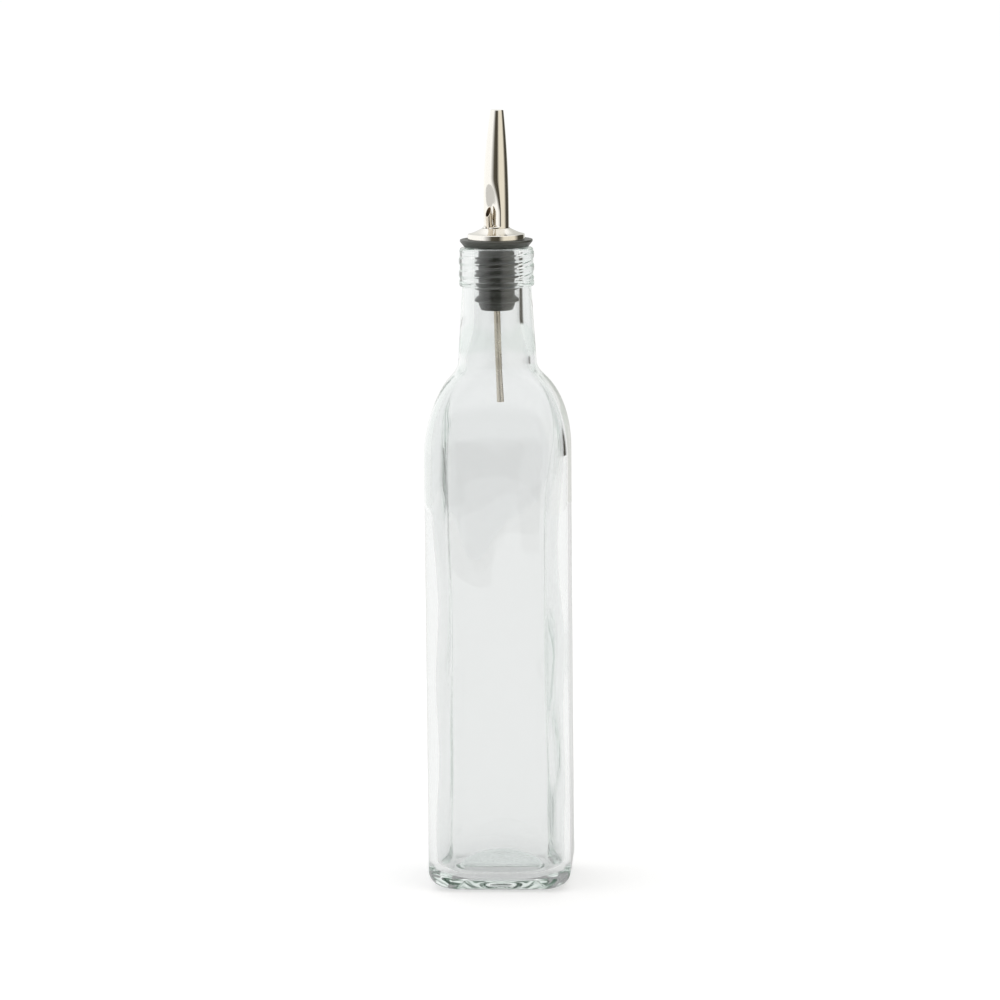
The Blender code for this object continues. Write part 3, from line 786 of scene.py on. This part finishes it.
class OILBOTTLE_OT_spout(Operator):
    """Make the tapered spout with its scoop and air hole"""
    bl_idname = "oil_bottle.spout"
    bl_label = "Steel Spout"

    def execute(self, context):
        p = pourer_settings()
        shape = PourerShape(p)
        levels = [shape.tube_end, 0.0]
        levels += steps_between(0.0, shape.scoop_base - p.spout_wall, 3)
        levels += steps_between(shape.scoop_base - p.spout_wall, shape.scoop_base + 1 * MM, 12)
        levels += steps_between(shape.scoop_base + 1 * MM, SPOUT_HEIGHT - TIP_ROUNDING, 70)
        wall = p.spout_wall
        rings = [spout_ring(p, shape, height, 0.0) for height in levels]
        lip = [(TIP_BREAK, SPOUT_HEIGHT - TIP_BREAK), (TIP_ROUNDING, SPOUT_HEIGHT),
               (wall - TIP_ROUNDING, SPOUT_HEIGHT), (wall - TIP_BREAK, SPOUT_HEIGHT - TIP_BREAK)]
        rings += [spout_ring(p, shape, height, inset) for inset, height in lip]
        rings += [spout_ring(p, shape, height, wall) for height in reversed(levels)]
        bm = extruded_skin(rings, ring_closed=True)
        bm.transform(head_matrix(p, shape))
        steel = polished_steel("stainless steel, drawn and polished", p.steel, 0.09, 0.015)
        piece = placed_piece("spout_shell", bm, steel, "spout_head", "spout")
        self.cut_air_hole(p, shape, piece)
        return {"FINISHED"}

    def cut_air_hole(self, p, shape, piece):
        """Cut the slanted hole that the breather tube comes through, and apply the cut."""
        drill = bmesh.new()
        bmesh.ops.create_cone(drill, cap_ends=True, segments=48, radius1=p.vent_radius + GAP,
                              radius2=p.vent_radius + GAP, depth=VENT_HOLE_RISE + VENT_HOLE_DROP)
        middle = vent_ledge(p, shape) + VENT_DIRECTION * (VENT_HOLE_RISE - VENT_HOLE_DROP) / 2
        lean = Matrix.Translation(middle) @ Matrix.Rotation(VENT_SLANT, 4, "X")
        drill.transform(head_matrix(p, shape) @ lean)
        mesh = bpy.data.meshes.new("air_hole_drill")
        drill.to_mesh(mesh)
        drill.free()
        tool = bpy.data.objects.new("air_hole_drill", mesh)
        bpy.context.scene.collection.objects.link(tool)
        cut = piece.modifiers.new("air hole", "BOOLEAN")
        cut.operation = "DIFFERENCE"
        cut.solver = "EXACT"
        cut.object = tool
        graph = bpy.context.evaluated_depsgraph_get()
        made = bpy.data.meshes.new_from_object(piece.evaluated_get(graph))
        piece.modifiers.clear()
        piece.data = made
        bpy.data.objects.remove(tool)


class OILBOTTLE_OT_cap(Operator):
    """Make the pressed cap under the spout"""
    bl_idname = "oil_bottle.cap"
    bl_label = "Pressed Cap"

    def execute(self, context):
        p = pourer_settings()
        shape = PourerShape(p)
        skirt_top = shape.cap_bottom + CAP_SKIRT
        rise = shape.cap_top - skirt_top

        def top(radius):
            share = (shape.cap_radius - radius) / (shape.cap_radius - shape.cap_hole)
            return skirt_top + rise * share ** CAP_RISE_POWER

        edge = shape.cap_radius - CAP_EDGE_WIDTH
        radii = steps_between(shape.cap_hole, edge, 26, with_start=True)
        outline = [(radius, top(radius)) for radius in radii]
        for angle in steps_between(math.pi / 2, 0, 7):
            outline.append((edge + CAP_EDGE_WIDTH * math.cos(angle),
                            top(edge) - CAP_EDGE_HEIGHT * (1 - math.sin(angle))))
        outline += [
            (shape.cap_radius, shape.cap_bottom + CAP_BREAK),
            (shape.cap_radius - CAP_BREAK, shape.cap_bottom),
            (shape.cap_radius - CAP_WALL, shape.cap_bottom),
            (shape.cap_radius - CAP_WALL, skirt_top - CAP_INNER_DROP),
        ]
        inner_radii = [radius for radius in radii if radius < shape.cap_radius - 1.5 * CAP_WALL]
        outline += [(radius, top(radius) - CAP_WALL) for radius in reversed(inner_radii)]
        bm = spun_solid(outline)
        bmesh.ops.translate(bm, vec=(0, 0, shape.mouth), verts=bm.verts)
        steel = polished_steel("stainless steel, pressed and polished", p.steel, 0.09, 0.015)
        placed_piece("cap_dish", bm, steel, "spout_head", "cap")
        return {"FINISHED"}


def vent_path(p, shape):
    """Middle line of the breather tube, from its mouth in the scoop down to its lower end."""
    mouth = vent_ledge(p, shape) + VENT_DIRECTION * (p.vent_rise / math.cos(VENT_SLANT))
    bend_top = mouth - VENT_DIRECTION * VENT_STRAIGHT
    bend_low = Vector((0, 0, shape.stopper_end))
    lower_end = Vector((*VENT_DRIFT, shape.stopper_end - VENT_DROP))
    upwards = (bend_low - lower_end).normalized()
    bend = interpolate_bezier(
        bend_top, bend_top - VENT_DIRECTION * VENT_BEND, bend_low + upwards * VENT_BEND, bend_low, 24)
    foot = upwards * VENT_CHAMFER
    return [mouth, mouth - VENT_DIRECTION * VENT_CHAMFER, *bend, lower_end + foot, lower_end]


def vent_ring(p, path, index, radius):
    """A ring square to the path at one of its points. The two at the mouth are cut on the slant."""
    before = path[max(0, index - 1)]
    after = path[min(len(path) - 1, index + 1)]
    along = (after - before).normalized()
    side = (Vector((1, 0, 0)) - along.x * along).normalized()
    front = along.cross(side)
    cut = p.vent_cut / 2 if index < 2 else 0.0
    ring = []
    for step in range(VENT_STEPS):
        angle = math.tau * step / VENT_STEPS
        across = radius * (math.cos(angle) * side + math.sin(angle) * front)
        lift = cut * (1 - math.sin(angle) * radius / p.vent_radius)
        ring.append(path[index] + across - along * lift)
    return ring


class OILBOTTLE_OT_breather(Operator):
    """Make the thin breather tube"""
    bl_idname = "oil_bottle.breather"
    bl_label = "Breather Tube"

    def execute(self, context):
        p = pourer_settings()
        shape = PourerShape(p)
        path = vent_path(p, shape)
        last = len(path) - 1
        outer = []
        inner = []
        for index in range(last + 1):
            chamfer = VENT_CHAMFER if index in (0, last) else 0.0
            outer.append(vent_ring(p, path, index, p.vent_radius - chamfer))
            inner.append(vent_ring(p, path, index, p.vent_bore + chamfer / 2))
        bm = extruded_skin(outer + inner[::-1], ring_closed=True)
        # the faces inside the bore take the second material, which is painted dark brown as shade
        for face in bm.faces:
            bore_ring = face.index // VENT_STEPS - len(path)
            face.material_index = 1 if 0 <= bore_ring < last else 0
        bm.transform(head_matrix(p, shape))
        steel = polished_steel("stainless steel tube, drawn", p.breather_steel, 0.28, 0.04)
        piece = placed_piece("breather_tube", bm, steel, "spout_head", "vent_tube")
        # painted shade: a dull, dark brown steel inside the tube stands in for the shade in its opening
        dull = polished_steel("stainless steel bore, dull and painted dark as shade", p.bore_painted_shade, 0.5, 0.1)
        piece.data.materials.append(dull)
        return {"FINISHED"}


# ---------------------------------------------------------------- studio


def studio_world(settings):
    """A white tent round the bottle with dark openings behind the camera and at the right.

    The openings are softer for light that comes through glass, and fade from it where it looks well up or
    down, so that edges and the heel stay pale. The camera sees a plain white backdrop.
    """
    world = bpy.data.worlds.new("studio tent")
    bpy.context.scene.world = world
    world.use_nodes = True
    tree = world.node_tree
    tree.nodes.clear()
    way = add_node(tree, "ShaderNodeTexCoord").outputs["Generated"]
    parts = add_node(tree, "ShaderNodeSeparateXYZ", {"Vector": way})
    towards = add_node(tree, "ShaderNodeMath", {0: parts.outputs["Y"], 1: -1.0}, operation="MULTIPLY")
    bearing = add_node(tree, "ShaderNodeMath", {0: parts.outputs["X"], 1: towards.outputs["Value"]},
                       operation="ARCTAN2")
    share = add_node(tree, "ShaderNodeMapRange", {
        "Value": bearing.outputs["Value"], "From Min": -math.pi, "From Max": math.pi})
    path = add_node(tree, "ShaderNodeLightPath")
    mirrored = add_node(tree, "ShaderNodeValToRGB", {"Fac": share.outputs["Result"]})
    fill_ramp(mirrored.color_ramp, MIRROR_BANDS)
    brighter = add_node(tree, "ShaderNodeVectorMath", {0: mirrored.outputs["Color"], "Scale": MIRROR_GAIN},
                        operation="SCALE")
    passed = add_node(tree, "ShaderNodeValToRGB", {"Fac": share.outputs["Result"]})
    fill_ramp(passed.color_ramp, GLASS_BANDS)
    lifted = add_node(tree, "ShaderNodeVectorMath", {0: passed.outputs["Color"], "Scale": GLASS_GAIN},
                      operation="SCALE")
    dip = add_node(tree, "ShaderNodeMath", {0: parts.outputs["Z"], 1: GLASS_DIP}, operation="ADD")
    away = add_node(tree, "ShaderNodeMath", {0: dip.outputs["Value"]}, operation="ABSOLUTE")
    steep = add_node(tree, "ShaderNodeMapRange", {
        "Value": away.outputs["Value"], "From Min": GLASS_SPREAD[0], "From Max": GLASS_SPREAD[1]},
        interpolation_type="SMOOTHSTEP")
    through = add_node(tree, "ShaderNodeMix", {
        0: steep.outputs["Result"], 6: lifted.outputs["Vector"], 7: GLASS_PALE}, data_type="RGBA")
    walls = add_node(tree, "ShaderNodeMix", {
        0: path.outputs["Is Transmission Ray"], 6: brighter.outputs["Vector"], 7: through.outputs[2]},
        data_type="RGBA")
    lift = add_node(tree, "ShaderNodeMapRange", {
        "Value": parts.outputs["Z"], "From Min": ROOF_RANGE[0], "From Max": ROOF_RANGE[1]},
        interpolation_type="SMOOTHSTEP")
    roof = add_node(tree, "ShaderNodeMix", {
        0: lift.outputs["Result"], 6: walls.outputs[2], 7: ROOF}, data_type="RGBA")
    tent = add_node(tree, "ShaderNodeBackground", {
        "Color": roof.outputs[2], "Strength": settings.brightness})
    backdrop = add_node(tree, "ShaderNodeBackground", {"Color": (1, 1, 1, 1), "Strength": BACKDROP_STRENGTH})
    both = add_node(tree, "ShaderNodeMixShader", {
        0: path.outputs["Is Camera Ray"], 1: tent.outputs["Background"], 2: backdrop.outputs["Background"]})
    add_node(tree, "ShaderNodeOutputWorld", {"Surface": both.outputs["Shader"]})


# Bearing in degrees from the camera's side, positive to the right, with the tent's colour there
MIRROR_BANDS = [
    (-180, "#C2C2BE"), (-152, "#FFFFFF"), (-52, "#FFFFFF"), (-17, "#504C42"), (14, "#403C33"),
    (34, "#E6E0D2"), (80, "#E6E0D2"), (102, "#45423A"), (142, "#45423A"), (154, "#D8D8D4"),
    (180, "#C2C2BE"),
]
GLASS_BANDS = [
    (-180, "#FFFFFF"), (-110, "#F4F6F4"), (-60, "#FFFFFF"), (-34, "#FFFFFF"), (-18, "#45423A"),
    (16, "#3A372F"), (30, "#F4F4F2"), (88, "#F0F0EE"), (98, "#45423A"), (128, "#45423A"),
    (140, "#F4F4F4"), (180, "#FFFFFF"),
]


def fill_ramp(ramp, bands):
    """Set a colour ramp's stops from bearings and hex colours."""
    while len(ramp.elements) > 1:
        ramp.elements.remove(ramp.elements[-1])
    for place, (bearing, hex_colour) in enumerate(bands):
        position = (bearing + 180) / 360
        stop = ramp.elements[0] if place == 0 else ramp.elements.new(position)
        stop.position = position
        stop.color = (*linear(hex_colour), 1)


class OILBOTTLE_OT_stage(Operator):
    """Make the floor, the light and the camera"""
    bl_idname = "oil_bottle.stage"
    bl_label = "Stage"

    def execute(self, context):
        settings = studio_settings()
        scene = context.scene
        bm = bmesh.new()
        bmesh.ops.create_circle(bm, cap_ends=True, radius=settings.floor_radius, segments=96)
        mesh = bpy.data.meshes.new("table_top")
        bm.to_mesh(mesh)
        bm.free()
        mesh.materials.append(matt_card(settings))
        floor = bpy.data.objects.new("table_top", mesh)
        scene.collection.objects.link(floor)
        studio_world(settings)

        camera = bpy.data.objects.new("camera", bpy.data.cameras.new("camera"))
        camera.data.lens = settings.lens
        camera.data.clip_end = 50
        turn = Matrix.Rotation(settings.camera_azimuth, 4, "Z")
        aim = Euler((math.pi / 2 - settings.camera_pitch, 0, 0)).to_matrix().to_4x4()
        roll = Matrix.Rotation(settings.camera_roll, 4, "Z")
        place = Matrix.Translation((CAMERA_SHIFT, -settings.camera_distance, settings.camera_height))
        camera.matrix_world = turn @ place @ aim @ roll
        scene.collection.objects.link(camera)
        scene.camera = camera
        scene.view_settings.view_transform = "Standard"
        scene.cycles.max_bounces = MAX_BOUNCES
        scene.cycles.glossy_bounces = GLOSSY_BOUNCES
        scene.cycles.transmission_bounces = MAX_BOUNCES
        return {"FINISHED"}


class OILBOTTLE_PT_panel(Panel):
    """Lists the bottle's parts in the sidebar"""
    bl_idname = "OILBOTTLE_PT_panel"
    bl_label = "Oil Bottle"
    bl_space_type = "VIEW_3D"
    bl_region_type = "UI"
    bl_category = "Oil Bottle"

    def draw(self, context):
        for maker in MAKERS:
            self.layout.operator(maker.bl_idname)


MAKERS = (
    OILBOTTLE_OT_stage, OILBOTTLE_OT_bottle, OILBOTTLE_OT_stopper, OILBOTTLE_OT_spout,
    OILBOTTLE_OT_cap, OILBOTTLE_OT_breather)
SETTINGS = {"oil_bottle": BottleSettings, "oil_pourer": PourerSettings, "oil_studio": StudioSettings}


def register():
    for group in SETTINGS.values():
        bpy.utils.register_class(group)
    for maker in MAKERS + (OILBOTTLE_PT_panel,):
        bpy.utils.register_class(maker)
    for name, group in SETTINGS.items():
        setattr(bpy.types.Scene, name, PointerProperty(type=group))


def unregister():
    for name in SETTINGS:
        delattr(bpy.types.Scene, name)
    for known in (OILBOTTLE_PT_panel, *reversed(MAKERS), *SETTINGS.values()):
        bpy.utils.unregister_class(known)


def main():
    register()
    bpy.ops.oil_bottle.stage()
    bpy.ops.oil_bottle.bottle()
    bpy.ops.oil_bottle.stopper()
    bpy.ops.oil_bottle.spout()
    bpy.ops.oil_bottle.cap()
    bpy.ops.oil_bottle.breather()


if __name__ == "__main__":
    main()
